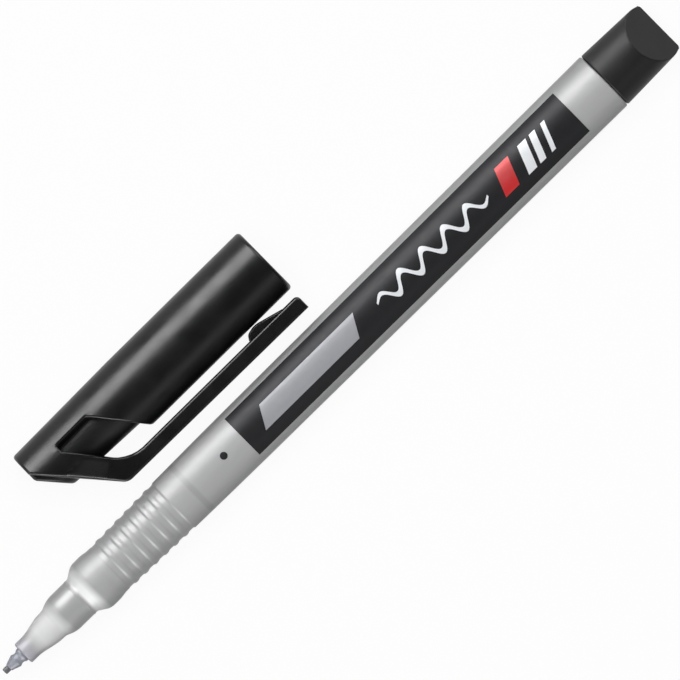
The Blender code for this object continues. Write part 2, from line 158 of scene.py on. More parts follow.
RIB_HEIGHT = 0.18
RIB_CUT = 0.12
GRIP_X = 22.25
GRIP_RADIUS = 4.12
GRIP_END = 35.14
GRIP_END_RADIUS = 4.43
BODY_X = 35.39
BODY_RADIUS = 4.61
BODY_CUT = 0.1
SWELL_X = 46.89
SWELL_RADIUS = 4.75
SWELL_CUT = 4.0
REAR_X = 125.4
REAR_RADIUS = 5.04
REAR_CUT = 0.3
FRONT_BORE = 2.32
CHAMBER_X = 38.74
CHAMBER_RADIUS = 3.69
CHAMBER_CUT = 0.1

# Rear plug
PLUG_SKIRT_X = 118.9
PLUG_SKIRT_RADIUS = 3.59
PLUG_SKIRT_CUT = 0.2
PLUG_BORE = 2.69
PLUG_BORE_CUT = 0.1
PLUG_FLOOR_X = 128.2
PLUG_X = 125.46
PLUG_RADIUS = 5.0
PLUG_CUT = 0.3
PLUG_END = 137.0
PLUG_END_RADIUS = 4.67
PLUG_SLANT_X = 131.95
PLUG_SLANT_RADIUS = 4.82
PLUG_SLANT = math.radians(52.4)
PLUG_END_EDGE = 0.35
PLUG_SLANT_EDGE = 0.2

# Cap, as distances from its closed end and radii
CAP_LENGTH = 47.5
CAP_RADIUS = 5.73
CAP_END_RADIUS = 5.44
CAP_TAPER_LENGTH = 20.0
CAP_BORE = 4.85
CAP_SPARE = 8.0
POCKET_X = 23.12
POCKET_RADIUS = 4.58
POCKET_END_RADIUS = 3.77
SHEET_SPLIT = 4.7
MOUTH_CUT = 0.6
MOUTH_BORE_CUT = 0.12
RIM_EDGE = 0.5
END_SLANT = math.radians(49.0)
END_OUT = Vector((-math.sin(END_SLANT), -math.cos(END_SLANT), 0.0))
END_SLANT_X = 1.62
WINDOW_SLANT = math.radians(51.8)
WINDOW_OUT = Vector((-math.sin(WINDOW_SLANT), -math.cos(WINDOW_SLANT), 0.0))
LEG_SLANT_X = 6.7
WINDOW_SLANT_X = 13.75
WINDOW_BACK_X = 5.95
WINDOW_TURN = math.radians(112.5)
WINDOW_ROUND = 0.38
WINDOW_FRONT_CHORDS = 2
WINDOW_BACK_CHORDS = 3
WINDOW_EDGE = 0.36
CORNER_TURN = math.radians(9)
CORNER_SPARE = 1.2
SAME_WAY = 0.9
THIMBLE_END = 22.82
THIMBLE_RADIUS = 4.47
THIMBLE_END_RADIUS = 3.67
THIMBLE_BORE = 3.37
THIMBLE_CUT = 0.15
THIMBLE_FLOOR_X = 5.2
THIMBLE_SLANT_X = 0.52
THIMBLE_EDGE = 0.45

# Clip, as distances from the cap's closed end and heights over its axis
CLIP_HALF_WIDTH = 3.0
CLIP_ROOT = 1.2
CLIP_SETBACK = 0.04
CLIP_EDGE = 0.5
FOOT_SINK = 0.06
FOOT_LIFT = 0.03
LEG_LEAN = math.radians(23)
LEG_SOFTNESS = 0.15
LEG_ROWS = 18
LEG_SPACING = 0.45
LEG_STRIPS = 4
LEG_FILLET_CUT = 2.7
ARM_INNER = 7.06
ARM_OUTER = 9.33
ARM_TIP_OUTER = 9.57
ARM_END = 47.15
ARM_ROWS = 12
ARM_CORNER_CUT = 0.75
ARM_TIP_CUT = 0.75
FLAT_SIDE = 0.5
NUB_HALF_WIDTH = 1.9
NUB_ROOT = 0.4
NUB_X = 37.25
NUB_STEP = 0.1
NUB_STEP_CUT = 0.1
NUB_WALL_X = 37.8
NUB_WALL = 6.15
NUB_WALL_CUT = 0.35
NUB_CREST_X = 39.4
NUB_CREST = 5.76
NUB_CREST_CUT = 0.7
NUB_END = 44.3
NUB_END_CUT = 0.2
NUB_ROWS = 8
NUB_EDGE = 0.3


# Shaping tools


def wire(corners, across, closed=False):
    """An outline through corners of distance, height and the length cut off each side to round them."""
    shape = bmesh.new()
    verts = [shape.verts.new(Vector((x, 0.0, 0.0)) + Vector(across) * height)
             for x, height, cut in corners]
    followers = verts[1:] + verts[:1] if closed else verts[1:]
    for pair in zip(verts, followers):
        shape.edges.new(pair)
    for vert, (x, height, cut) in zip(verts, corners):
        if cut:
            bmesh.ops.bevel(shape, geom=[vert], offset=cut, offset_type="OFFSET", segments=ROUND_SEGMENTS,
                            profile=0.5, affect="VERTICES", material=-1)
    return shape


def merge(shape):
    """Join what lies in one place, and turn all faces outwards."""
    bmesh.ops.remove_doubles(shape, verts=shape.verts[:], dist=WELD)
    bmesh.ops.recalc_face_normals(shape, faces=shape.faces[:])


def open_edges(shape):
    return [edge for edge in shape.edges if edge.is_boundary]


def turned(corners, steps, closed=False):
    """A shape of revolution about X, left open where its outline is open off the axis."""
    shape = wire(corners, (0, 0, 1), closed)
    bmesh.ops.spin(shape, geom=shape.verts[:] + shape.edges[:], axis=(1, 0, 0), cent=(0, 0, 0),
                   angle=math.tau, steps=steps, use_merge=True)
    merge(shape)
    return shape


def close_ends(shape):
    """Close each open rim with one face."""
    bmesh.ops.holes_fill(shape, edges=open_edges(shape), sides=0)
    merge(shape)


def split(shape, faces, point, normal, clear=False):
    """Cut the faces along a plane, and drop what lies on the normal's side if clear is set."""
    edges = {edge for face in faces for edge in face.edges}
    verts = {vert for face in faces for vert in face.verts}
    return bmesh.ops.bisect_plane(shape, geom=list(verts) + list(edges) + list(faces), dist=WELD,
                                  plane_co=point, plane_no=normal, clear_outer=clear)["geom_cut"]


def cut_away(shape, point, normal):
    """Cut a solid along a plane, drop the normal's side and close the cut with one face."""
    rim = [item for item in split(shape, shape.faces[:], point, normal, True)
           if isinstance(item, bmesh.types.BMEdge)]
    return bmesh.ops.edgeloop_fill(shape, edges=rim)["faces"]


def soften(shape, edges, width):
    """Round some edges."""
    bmesh.ops.bevel(shape, geom=list(edges), offset=width, offset_type="OFFSET", segments=EDGE_SEGMENTS,
                    profile=0.5, affect="EDGES", material=-1)


def in_order(verts):
    """Vertices in the order of their places, so that each run joins the same ones."""
    return sorted(verts, key=lambda vert: [round(value, PLACE_DIGITS) for value in vert.co])


def drop_short(shape, verts):
    """Join places that lie so near each other that a rounded edge wouldn't fit between them."""
    bmesh.ops.remove_doubles(shape, verts=list(verts), dist=TOO_SHORT)
    shape.normal_update()


def lies_on(edge, point, normal):
    return all(abs((vert.co - Vector(point)).dot(Vector(normal))) < ON_PLANE for vert in edge.verts)


def piece(name, shape, material, place):
    """Make a finished piece of a shape, with smooth faces between its sharp edges."""
    merge(shape)
    bmesh.ops.transform(shape, matrix=place, verts=shape.verts[:])
    mesh = bpy.data.meshes.new(name)
    shape.to_mesh(mesh)
    shape.free()
    mesh.shade_smooth()
    mesh.set_sharp_from_angle(angle=SHARP_ANGLE)
    mesh.materials.append(material)
    made = bpy.data.objects.new(name, mesh)
    bpy.context.scene.collection.objects.link(made)
    flats = made.modifiers.new("even_flats", "WEIGHTED_NORMAL")
    flats.keep_sharp = True
    return made


# Tools for finishes

PLASTIC_IOR = 1.4
PLAIN_GLOSS = 0.5
NOISE_LOW = 0.3
NOISE_HIGH = 0.7
GRAIN_DETAIL = 2.0
MOTTLE_DETAIL = 4.0


def skin_group():
    """Fine grain and slow mottling of a moulded skin, as two values that change over the surface."""
    group = bpy.data.node_groups.new("moulded_skin", "ShaderNodeTree")
    for label, kind in (("Vector", "NodeSocketVector"), ("Grain Scale", "NodeSocketFloat"),
                        ("Mottle Scale", "NodeSocketFloat")):
        group.interface.new_socket(name=label, in_out="INPUT", socket_type=kind)
    for label in ("Grain", "Mottle"):
        group.interface.new_socket(name=label, in_out="OUTPUT", socket_type="NodeSocketFloat")
    entry = group.nodes.new("NodeGroupInput")
    result = group.nodes.new("NodeGroupOutput")
    for label, detail in (("Grain", GRAIN_DETAIL), ("Mottle", MOTTLE_DETAIL)):
        noise = group.nodes.new("ShaderNodeTexNoise")
        noise.inputs["Detail"].default_value = detail
        group.links.new(entry.outputs["Vector"], noise.inputs["Vector"])
        group.links.new(entry.outputs[f"{label} Scale"], noise.inputs["Scale"])
        group.links.new(noise.outputs["Fac"], result.inputs[label])
    return group


SKIN = skin_group()


class Finish:
    """A material under construction: its node tree and its shader."""

    def __init__(self, name):
        self.material = bpy.data.materials.new(name)
        self.material.use_nodes = True
        self.tree = self.material.node_tree
        self.shader = self.tree.nodes["Principled BSDF"]

    def add(self, kind, **values):
        node = self.tree.nodes.new(kind)
        for key, value in values.items():
            setattr(node, key, value)
        return node

    def link(self, source, target):
        self.tree.links.new(source, target)

    def feed(self, label, source):
        self.link(source, self.shader.inputs[label])

    def plastic(self, gloss=PLAIN_GLOSS):
        """Set how much a plain plastic reflects."""
        self.shader.inputs["IOR"].default_value = PLASTIC_IOR
        self.shader.inputs["Specular IOR Level"].default_value = gloss

    def place(self, kind="Object"):
        """The surface's Object coordinates, or its Normal in them."""
        return self.add("ShaderNodeTexCoord").outputs[kind]

    def stretched(self, share):
        """Object coordinates that change more slowly along the pen, by a share."""
        node = self.add("ShaderNodeMapping")
        node.inputs["Scale"].default_value = (share, 1.0, 1.0)
        self.link(self.place(), node.inputs["Vector"])
        return node.outputs["Vector"]

    def along_pen(self, vector):
        """The part of a place or a direction that lies along the pen."""
        axes = self.add("ShaderNodeSeparateXYZ")
        self.link(vector, axes.inputs["Vector"])
        return axes.outputs["X"]

    def station(self):
        """The distance along the pen's axis from the nib's point, in metres."""
        return self.spread(self.along_pen(self.place()), 0.0, 1.0, PEN_PLACE.x, PEN_PLACE.x + 1.0)

    def spread(self, source, low, high, start=0.0, stop=1.0):
        """Map a value's range from start..stop to low..high."""
        node = self.add("ShaderNodeMapRange")
        for label, value in (("From Min", start), ("From Max", stop), ("To Min", low), ("To Max", high)):
            node.inputs[label].default_value = value
        self.link(source, node.inputs["Value"])
        return node.outputs["Result"]

    def uneven(self, noise, middle, change):
        """A value that swings about its middle as a noise does."""
        return self.spread(noise, middle - change, middle + change, NOISE_LOW, NOISE_HIGH)

    def combine(self, operation, first, second):
        """The sum, the product or the larger one of two values."""
        node = self.add("ShaderNodeMath", operation=operation)
        self.link(first, node.inputs[0])
        self.link(second, node.inputs[1])
        return node.outputs["Value"]

    def band(self, source, rise, full, fade, gone):
        """A share that is 1 between full and fade, and falls to 0 at rise and gone."""
        return self.combine("MULTIPLY", self.spread(source, 0.0, 1.0, rise, full),
                            self.spread(source, 1.0, 0.0, fade, gone))

    def mix(self, share, first, second):
        """Mix two colours by a share; each is a colour value or an output."""
        node = self.add("ShaderNodeMix", data_type="RGBA")
        for label, colour in (("A", first), ("B", second)):
            socket = [item for item in node.inputs if item.name == label and item.type == "RGBA"][0]
            if isinstance(colour, tuple):
                socket.default_value = colour + (1.0,)
            else:
                self.link(colour, socket)
        self.link(share, node.inputs["Factor"])
        return [item for item in node.outputs if item.type == "RGBA"][0]

    def skin(self, grain_scale, mottle_scale, place=None):
        """The grain and the mottling of a moulded skin."""
        node = self.add("ShaderNodeGroup", node_tree=SKIN)
        self.link(place or self.place(), node.inputs["Vector"])
        node.inputs["Grain Scale"].default_value = grain_scale
        node.inputs["Mottle Scale"].default_value = mottle_scale
        return node.outputs["Grain"], node.outputs["Mottle"]

    def bump(self, height, strength, depth):
        node = self.add("ShaderNodeBump")
        node.inputs["Strength"].default_value = strength
        node.inputs["Distance"].default_value = depth
        self.link(height, node.inputs["Height"])
        self.feed("Normal", node.outputs["Normal"])


# Colours of the finishes
PEARL_DARK = (0.375, 0.377, 0.381)
PEARL_PALE = (0.425, 0.427, 0.431)
# The nose's paler tone is a painted highlight; the same band also makes the nose rougher.
NOSE_PAINTED_HIGHLIGHT = (0.7, 0.702, 0.706)
# The shoulder's pale tone is a painted highlight.
SHOULDER_PAINTED_HIGHLIGHT = (0.88, 0.882, 0.886)
# The ring's darker tone is painted shade of the chamber's step.
CHAMBER_RING_PAINTED_SHADE = (0.34, 0.342, 0.346)
INK_TINT = (0.45, 0.445, 0.5)
FIBRE_DARK = (0.035, 0.035, 0.045)
FIBRE_PALE = (0.11, 0.11, 0.125)
SLEEVE_GREY = (0.3, 0.31, 0.365)
PLUG_DARK = (0.0105, 0.0105, 0.0115)
PLUG_PALE = (0.0135, 0.0135, 0.0145)
PLUG_SLANT_PAINTED_REFLECTION = (0.03, 0.03, 0.0318)
CAP_BLACK = (0.004, 0.004, 0.0044)
SEAL_BLACK = (0.004, 0.004, 0.0043)
CORE_BLACK = (0.018, 0.018, 0.022)
FILM_WHITE = (0.62, 0.63, 0.65)
PANEL_BLACK = (0.0165, 0.0167, 0.0185)
PRINT_WHITE = (0.82, 0.84, 0.87)
PRINT_RED = (0.58, 0.012, 0.014)
PRINT_GREY = (0.34, 0.345, 0.37)

# Depths of the skins in metres, and how far tone and roughness swing
GRAIN_DEPTH = 0.00002
FIBRE_DEPTH = 0.00003
INK_DEPTH = 0.00001
MOTTLE_SCALE = 300.0
TONE_SWING = 0.12
ROUGHNESS_SWING = 0.05
BLACK_SKIN = {"grain_scale": 6000.0, "grain_strength": 0.2, "gloss": 0.3}

# Barrel's finish, with its bands as four stations in metres where they start, are full, fade and end
NOSE_HIGHLIGHT_AND_ROUGH_BAND = (0.0052, 0.0075, 0.0108, 0.0122)
SEAT_BAND = (0.0115, 0.0125, 0.0155, 0.017)
SHOULDER_HIGHLIGHT_BAND = (0.0159, 0.0164, 0.0172, 0.0184)
GRIP_BAND = (0.0216, 0.0224, 0.035, 0.0356)
CHAMBER_RING_SHADE_BAND = (0.0385, 0.0388, 0.0394, 0.0398)
TINT_FADE = (0.0042, 0.0062)
BARREL_METALLIC = 0.02
BARREL_ROUGHNESS = 0.5
NOSE_ROUGHER = 0.2
SEAT_SMOOTHER = -0.14
GRIP_SMOOTHER = -0.1
STREAK_STRETCH = 0.12
STREAK_SWING = 0.03

# Plug's finish, whose paler tone, a painted reflection, comes in between two shares of the normal along
# the pen
PLUG_REFLECTION_FACING = (0.4, 0.7)
PLUG_ROUGHNESS = 0.46
PLUG_GLOSS = 0.22

# Nib's and print's finishes
STRAND_STRETCH = 0.1
STRAND_ROUGHNESS = (0.5, 0.75)
INK_THIN = 0.94
INK_FULL = 1.04
INK_SWING = 0.04


def shade(colour, factor):
    return tuple(channel * factor for channel in colour)


def moulded(name, colour, roughness, grain_scale, grain_strength, gloss=PLAIN_GLOSS):
    """Plain moulded plastic: a fine grained skin with slow changes of tone and gloss."""
    finish = Finish(name)
    finish.plastic(gloss)
    grain, mottle = finish.skin(grain_scale, MOTTLE_SCALE)
    dark, pale = shade(colour, 1 - TONE_SWING), shade(colour, 1 + TONE_SWING)
    finish.feed("Base Color", finish.mix(mottle, dark, pale))
    finish.feed("Roughness", finish.uneven(mottle, roughness, ROUGHNESS_SWING))
    finish.bump(grain, grain_strength, GRAIN_DEPTH)
    return finish.material


def plug_finish():
    """Black plastic with a fine texture, and a painted reflection that makes it paler where its matt
    slanted face looks along the pen.
    """
    finish = Finish("black_plug_plastic")
    finish.plastic(PLUG_GLOSS)
    grain, mottle = finish.skin(grain_scale=7000.0, mottle_scale=MOTTLE_SCALE)
    tone = finish.mix(mottle, PLUG_DARK, PLUG_PALE)
    # The slanted face's paler tone is a painted reflection.
    painted_reflection = finish.spread(finish.along_pen(finish.place("Normal")), 0.0, 1.0, *PLUG_REFLECTION_FACING)
    finish.feed("Base Color", finish.mix(painted_reflection, tone, PLUG_SLANT_PAINTED_REFLECTION))
    finish.feed("Roughness", finish.uneven(mottle, PLUG_ROUGHNESS, ROUGHNESS_SWING))
    finish.bump(grain, strength=0.3, depth=GRAIN_DEPTH)
    return finish.material


def silver_barrel_finish():
    """Satin pearl plastic with faint flow streaks along the pen, and painted highlights on its nose and
    shoulder.

    The front end is a little tinted by ink, the seat and the grip are smoother, and a faint darker ring
    of painted shade lies where the chamber starts.
    """
    finish = Finish("silver_barrel_plastic")
    finish.plastic()
    finish.shader.inputs["Metallic"].default_value = BARREL_METALLIC
    flow = finish.stretched(STREAK_STRETCH)
    grain, streak = finish.skin(grain_scale=9000.0, mottle_scale=700.0, place=flow)
    station = finish.station()
    pearl = finish.mix(streak, PEARL_DARK, PEARL_PALE)
    # Paint highlights on the nose and the shoulder, and a ring of shade at the chamber's step.
    for band, tone in ((NOSE_HIGHLIGHT_AND_ROUGH_BAND, NOSE_PAINTED_HIGHLIGHT), (SHOULDER_HIGHLIGHT_BAND, SHOULDER_PAINTED_HIGHLIGHT),
                       (CHAMBER_RING_SHADE_BAND, CHAMBER_RING_PAINTED_SHADE)):
        pearl = finish.mix(finish.band(station, *band), pearl, tone)
    tint = finish.spread(station, 1.0, 0.0, *TINT_FADE)
    finish.feed("Base Color", finish.mix(tint, pearl, INK_TINT))
    roughness = finish.uneven(streak, BARREL_ROUGHNESS, STREAK_SWING)
    for band, change in ((NOSE_HIGHLIGHT_AND_ROUGH_BAND, NOSE_ROUGHER), (SEAT_BAND, SEAT_SMOOTHER),
                         (GRIP_BAND, GRIP_SMOOTHER)):
        local = finish.spread(finish.band(station, *band), 0.0, change)
        roughness = finish.combine("ADD", roughness, local)
    finish.feed("Roughness", roughness)
    finish.bump(grain, strength=0.06, depth=GRAIN_DEPTH)
    return finish.material


def nib_finish():
    """Pressed fibre, soaked with ink, with its strands along the rod."""
    finish = Finish("nib_fibre")
    lie = finish.stretched(STRAND_STRETCH)
    strands, stain = finish.skin(grain_scale=14000.0, mottle_scale=1500.0, place=lie)
    finish.feed("Base Color", finish.mix(stain, FIBRE_DARK, FIBRE_PALE))
    finish.feed("Roughness", finish.spread(strands, *STRAND_ROUGHNESS))
    finish.bump(strands, strength=0.5, depth=FIBRE_DEPTH)
    return finish.material


def print_finish(name, colour, roughness, gloss=PLAIN_GLOSS):
    """A printed ink layer with a slight unevenness of cover."""
    finish = Finish(name)
    finish.plastic(gloss)
    grain, cover = finish.skin(grain_scale=12000.0, mottle_scale=900.0)
    finish.feed("Base Color", finish.mix(cover, shade(colour, INK_THIN), shade(colour, INK_FULL)))
    finish.feed("Roughness", finish.uneven(cover, roughness, INK_SWING))
    finish.bump(grain, strength=0.05, depth=INK_DEPTH)
    return finish.material


BARREL_FINISH = silver_barrel_finish()
NIB_FINISH = nib_finish()
SLEEVE_FINISH = moulded("sleeve_plastic", SLEEVE_GREY, roughness=0.4, grain_scale=9000.0,
                        grain_strength=0.05)
PLUG_FINISH = plug_finish()
CAP_FINISH = moulded("black_cap_plastic", CAP_BLACK, roughness=0.34, **BLACK_SKIN)
SEAL_FINISH = moulded("black_seal_plastic", SEAL_BLACK, roughness=0.45, **BLACK_SKIN)
CLIP_FINISH = moulded("black_clip_plastic", CAP_BLACK, roughness=0.3, **BLACK_SKIN)
CORE_FINISH = moulded("ink_core_fibre", CORE_BLACK, roughness=0.8, grain_scale=3000.0, grain_strength=0.6)
FILM_FINISH = moulded("core_film", FILM_WHITE, roughness=0.25, grain_scale=4000.0, grain_strength=0.05)
PANEL_INK = print_finish("black_panel_ink", PANEL_BLACK, roughness=0.42, gloss=0.15)
WHITE_INK = print_finish("white_ink", PRINT_WHITE, roughness=0.4)
RED_INK = print_finish("red_ink", PRINT_RED, roughness=0.4)
GREY_INK = print_finish("grey_ink", PRINT_GREY, roughness=0.4)


# Pen


def rib_corners():
    """The grip's ribs: flat-topped rings on a cone, each with a slanted wall on both sides."""
    slope = (GRIP_END_RADIUS - GRIP_RADIUS) / (GRIP_END - GRIP_X)
    corners = [(GRIP_X, GRIP_RADIUS, RIB_CUT)]
    for index in range(RIB_COUNT):
        start = RIB_X + index * RIB_PITCH
        for reach, rise in ((0.0, 0.0), (RIB_WALL, RIB_HEIGHT), (RIB_LENGTH - RIB_REAR_WALL, RIB_HEIGHT),
                            (RIB_LENGTH, 0.0)):
            x = start + reach
            corners.append((x, GRIP_RADIUS + slope * (x - GRIP_X) + rise, RIB_CUT))
    corners.append((GRIP_END, GRIP_END_RADIUS, RIB_CUT))
    return corners


def barrel():
    """The barrel in one turned shell: nose, seat with its bead, shoulder, ribbed grip and body."""
    bead_radius = SEAT_RADIUS + BEAD_RISE
    bead_end = BEAD_X + BEAD_LENGTH
    front = [
        (NOSE_X, NOSE_BORE, NOSE_BORE_CUT),
        (NOSE_X, NOSE_RADIUS, NOSE_CUT),
        (FLARE_X, NOSE_RADIUS, FLARE_CUT),
        (NECK_X, NECK_RADIUS, NECK_CUT),
        (RISE_X, RISE_RADIUS, RISE_CUT),
        (SEAT_X, SEAT_RADIUS, SEAT_CUT),
        (BEAD_X, SEAT_RADIUS, BEAD_FOOT_CUT),
        (BEAD_X + BEAD_WALL, bead_radius, BEAD_CUT),
        (bead_end - BEAD_REAR_WALL, bead_radius, BEAD_CUT),
        (bead_end, SEAT_RADIUS, BEAD_REAR_FOOT_CUT),
        (SHOULDER_X, SEAT_RADIUS, SHOULDER_CUT),
        (CREST_X, CREST_RADIUS, CREST_CUT),
        (CREST_END, CREST_RADIUS, CREST_END_CUT),
        (WAIST_X, WAIST_RADIUS, WAIST_CUT),
        (WAIST_END, WAIST_RADIUS, WAIST_END_CUT),
    ]
    rear = [
        (BODY_X, BODY_RADIUS, BODY_CUT),
        (SWELL_X, SWELL_RADIUS, SWELL_CUT),
        (REAR_X, REAR_RADIUS, REAR_CUT),
        (REAR_X, CHAMBER_RADIUS, CHAMBER_CUT),
        (CHAMBER_X, CHAMBER_RADIUS, 0.0),
        (CHAMBER_X, FRONT_BORE, 0.0),
        (SEAT_X, FRONT_BORE, 0.0),
        (RISE_X, NOSE_BORE, 0.0),
    ]
    made = piece("barrel_skin", turned(front + rib_corners() + rear, PEN_STEPS, closed=True),
                 BARREL_FINISH, TO_PEN)
    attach(made, "pen")
    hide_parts("barrel")


def nib():
    """The blunt writing point and its rod."""
    corners = [
        (0.0, 0.0, 0.0),
        (0.0, NIB_POINT_RADIUS, NIB_POINT_CUT),
        (NIB_LIP_X, NIB_LIP_RADIUS, NIB_LIP_CUT),
        (NIB_ROD_X, NIB_ROD_RADIUS, NIB_ROD_CUT),
        (NIB_ROD_END, NIB_ROD_RADIUS, NIB_ROD_CUT),
        (NIB_ROD_END, 0.0, 0.0),
    ]
    made = piece("nib_rod", turned(corners, NIB_STEPS), NIB_FINISH, TO_PEN)
    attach(made, "pen")
    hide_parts("nib")


def nib_sleeve():
    """The small cone round the nib, with a groove in front of its collar."""
    groove_radius = SLEEVE_RADIUS - SLEEVE_GROOVE
    groove_end = SLEEVE_GROOVE_X + SLEEVE_GROOVE_LENGTH
    corners = [
        (NIB_LIP_X, SLEEVE_MOUTH_BORE, 0.0),
        (NIB_LIP_X, SLEEVE_LIP_RADIUS, SLEEVE_LIP_CUT),
        (NIB_ROD_X, SLEEVE_RADIUS, SLEEVE_CUT),
        (SLEEVE_GROOVE_X, SLEEVE_RADIUS, SLEEVE_BRINK_CUT),
        (SLEEVE_GROOVE_X + SLEEVE_GROOVE_WALL, groove_radius, SLEEVE_GROOVE_CUT),
        (groove_end - SLEEVE_GROOVE_WALL, groove_radius, SLEEVE_GROOVE_CUT),
        (groove_end, SLEEVE_COLLAR_RADIUS, SLEEVE_BRINK_CUT),
        (SLEEVE_END, SLEEVE_RADIUS, SLEEVE_CUT),
        (SLEEVE_END, SLEEVE_BORE, 0.0),
        (NIB_ROD_X, SLEEVE_BORE, 0.0),
    ]
    made = piece("nib_sleeve_cone", turned(corners, NIB_STEPS, closed=True), SLEEVE_FINISH, TO_PEN)
    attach(made, "pen")
    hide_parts("nib_sleeve")


def rear_plug():
    """The plug with its skirt in the barrel and its slanted end."""
    corners = [
        (PLUG_FLOOR_X, PLUG_BORE, 0.0),
        (PLUG_SKIRT_X, PLUG_BORE, PLUG_BORE_CUT),
        (PLUG_SKIRT_X, PLUG_SKIRT_RADIUS, PLUG_SKIRT_CUT),
        (PLUG_X, PLUG_SKIRT_RADIUS, 0.0),
        (PLUG_X, PLUG_RADIUS, PLUG_CUT),
        (PLUG_END, PLUG_END_RADIUS, 0.0),
    ]
    shape = turned(corners, PEN_STEPS)
    close_ends(shape)
    slant_point = (PLUG_SLANT_X, 0, PLUG_SLANT_RADIUS)
    slant_out = (math.sin(PLUG_SLANT), 0, math.cos(PLUG_SLANT))
    slant = cut_away(shape, slant_point, slant_out)
    slant_edges = set(slant[0].edges)
    end_rim = [edge for edge in shape.edges
               if lies_on(edge, (PLUG_END, 0, 0), (1, 0, 0)) and edge not in slant_edges]
    soften(shape, end_rim, PLUG_END_EDGE)
    slant_rim = [edge for edge in shape.edges if lies_on(edge, slant_point, slant_out)]
    soften(shape, slant_rim, PLUG_SLANT_EDGE)
    made = piece("rear_plug_slanted", shape, PLUG_FINISH, TO_PEN)
    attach(made, "pen")
    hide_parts("rear_plug")


# Print on the barrel, as stations from the nib's point and lengths along and round the body

PANEL_START = 49.8
PANEL_END = 118.6
PANEL_CAP_SIDE = math.radians(53)
PANEL_FAR_SIDE = math.radians(49.5)
PANEL_STEPS = 36
PANEL_LIFT = 0.02
PRINT_LIFT = 0.03
PRINT_SINK = 0.03
PRINT_CELLS_PER_MM = 4
PRINT_LEAST_CELLS = 4
PATCH_START = 54.0
PATCH_LENGTH = 19.5
PATCH_WIDTH = 3.5
PATCH_LEAN = 1.95
WAVE_START = 78.0
WAVE_LENGTH = 23.0
WAVE_WIDTH = 1.0
WAVE_HEIGHT = 1.25
WAVE_COUNT = 5
WAVE_FADE_SHARE = 0.2
WAVE_TIP_SHARE = 0.35
ACCENT_START = 103.6
ACCENT_LENGTH = 2.8
BAR_START = 108.4
BAR_PITCH = 2.4
BAR_LENGTHS = (1.7, 1.2, 0.8)
BAR_WIDTH = 4.4
BAR_LEAN = 1.68
DOT_START = 45.3
DOT_SIZE = 1.2


def barrel_radius(station):
    """The body's radius at a station behind its swell."""
    share = (station - SWELL_X) / (REAR_X - SWELL_X)
    return SWELL_RADIUS + (REAR_RADIUS - SWELL_RADIUS) * share


def print_panel():
    """The printed dark field, a thin skin on the side of the body that faces up."""
    start, stop = barrel_radius(PANEL_START), barrel_radius(PANEL_END)
    corners = [
        (PANEL_START, start - PRINT_SINK, 0.0),
        (PANEL_START, start + PANEL_LIFT, 0.0),
        (PANEL_END, stop + PANEL_LIFT, 0.0),
        (PANEL_END, stop - PRINT_SINK, 0.0),
    ]
    shape = wire(corners, (0, math.sin(PANEL_CAP_SIDE), math.cos(PANEL_CAP_SIDE)), closed=True)
    bmesh.ops.spin(shape, geom=shape.verts[:] + shape.edges[:], axis=(1, 0, 0), cent=(0, 0, 0),
                   angle=PANEL_CAP_SIDE + PANEL_FAR_SIDE, steps=PANEL_STEPS)
    close_ends(shape)
    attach(piece("print_panel", shape, PANEL_INK, TO_PEN), "pen")


def printed(name, material, start, length, width, place, lift=PRINT_LIFT):
    """A thin ink patch: a grid, laid out by place() from shares along and across, wrapped on the body."""
    shape = bmesh.new()
    along = max(PRINT_LEAST_CELLS, round(length * PRINT_CELLS_PER_MM))
    across = max(PRINT_LEAST_CELLS, round(width * PRINT_CELLS_PER_MM))
    bmesh.ops.create_grid(shape, x_segments=along, y_segments=across, size=0.5)
    sheet = bmesh.ops.extrude_face_region(shape, geom=shape.faces[:])["geom"]
    raised = {item for item in sheet if isinstance(item, bmesh.types.BMVert)}
    for vert in shape.verts:
        station, arc = place(vert.co.x + 0.5, vert.co.y)
        station = start + station * length
        arc = arc * width
        radius = barrel_radius(station)
        angle = arc / radius
        radius += lift if vert in raised else -PRINT_SINK
        vert.co = (station, radius * math.sin(angle), radius * math.cos(angle))
    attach(piece(name, shape, material, TO_PEN), "pen")


def slanted_bar(name, material, start, length, width, lean):
    """A printed bar whose ends lean along the pen over its width."""
    printed(name, material, start, length, width,
            lambda along, across: (along + lean / length * across, across))


def disc(along, across):
    """Places of a round dot, from those of a square."""
    wide, high = 2.0 * along - 1.0, 2.0 * across
    return (0.5 + wide * math.sqrt(1.0 - high * high / 2.0) / 2.0,
            high * math.sqrt(1.0 - wide * wide / 2.0) / 2.0)


def waved(along, across):
    """Places of a line that swings across the pen and thins towards its ends."""
    fade = min(1.0, along / WAVE_FADE_SHARE, (1.0 - along) / WAVE_FADE_SHARE)
    full = WAVE_TIP_SHARE + (1.0 - WAVE_TIP_SHARE) * math.sin(fade * math.pi / 2)
    swing = WAVE_HEIGHT / WAVE_WIDTH * math.sin(along * WAVE_COUNT * math.tau)
    return along, (swing + across) * full


def print_design():
    """Plain signs of a drawn line: a grey patch, a wave, slanted bars and a dot for the width."""
    slanted_bar("print_patch", GREY_INK, PATCH_START, PATCH_LENGTH, PATCH_WIDTH, PATCH_LEAN)
    printed("print_wave", WHITE_INK, WAVE_START, WAVE_LENGTH, WAVE_WIDTH, waved)
    slanted_bar("print_accent", RED_INK, ACCENT_START, ACCENT_LENGTH, BAR_WIDTH, BAR_LEAN)
    for index, length in enumerate(BAR_LENGTHS):
        start = BAR_START + index * BAR_PITCH
        slanted_bar(f"print_bar_{index + 1}", WHITE_INK, start, length, BAR_WIDTH, BAR_LEAN)
    printed("print_width_mark", PANEL_INK, DOT_START, DOT_SIZE, DOT_SIZE, disc, PANEL_LIFT)


# Cap


def slant_x(foot, height, slant):
    """The distance at a height over the axis on the slanted plane that starts at the foot."""
    return foot + height / math.tan(slant)


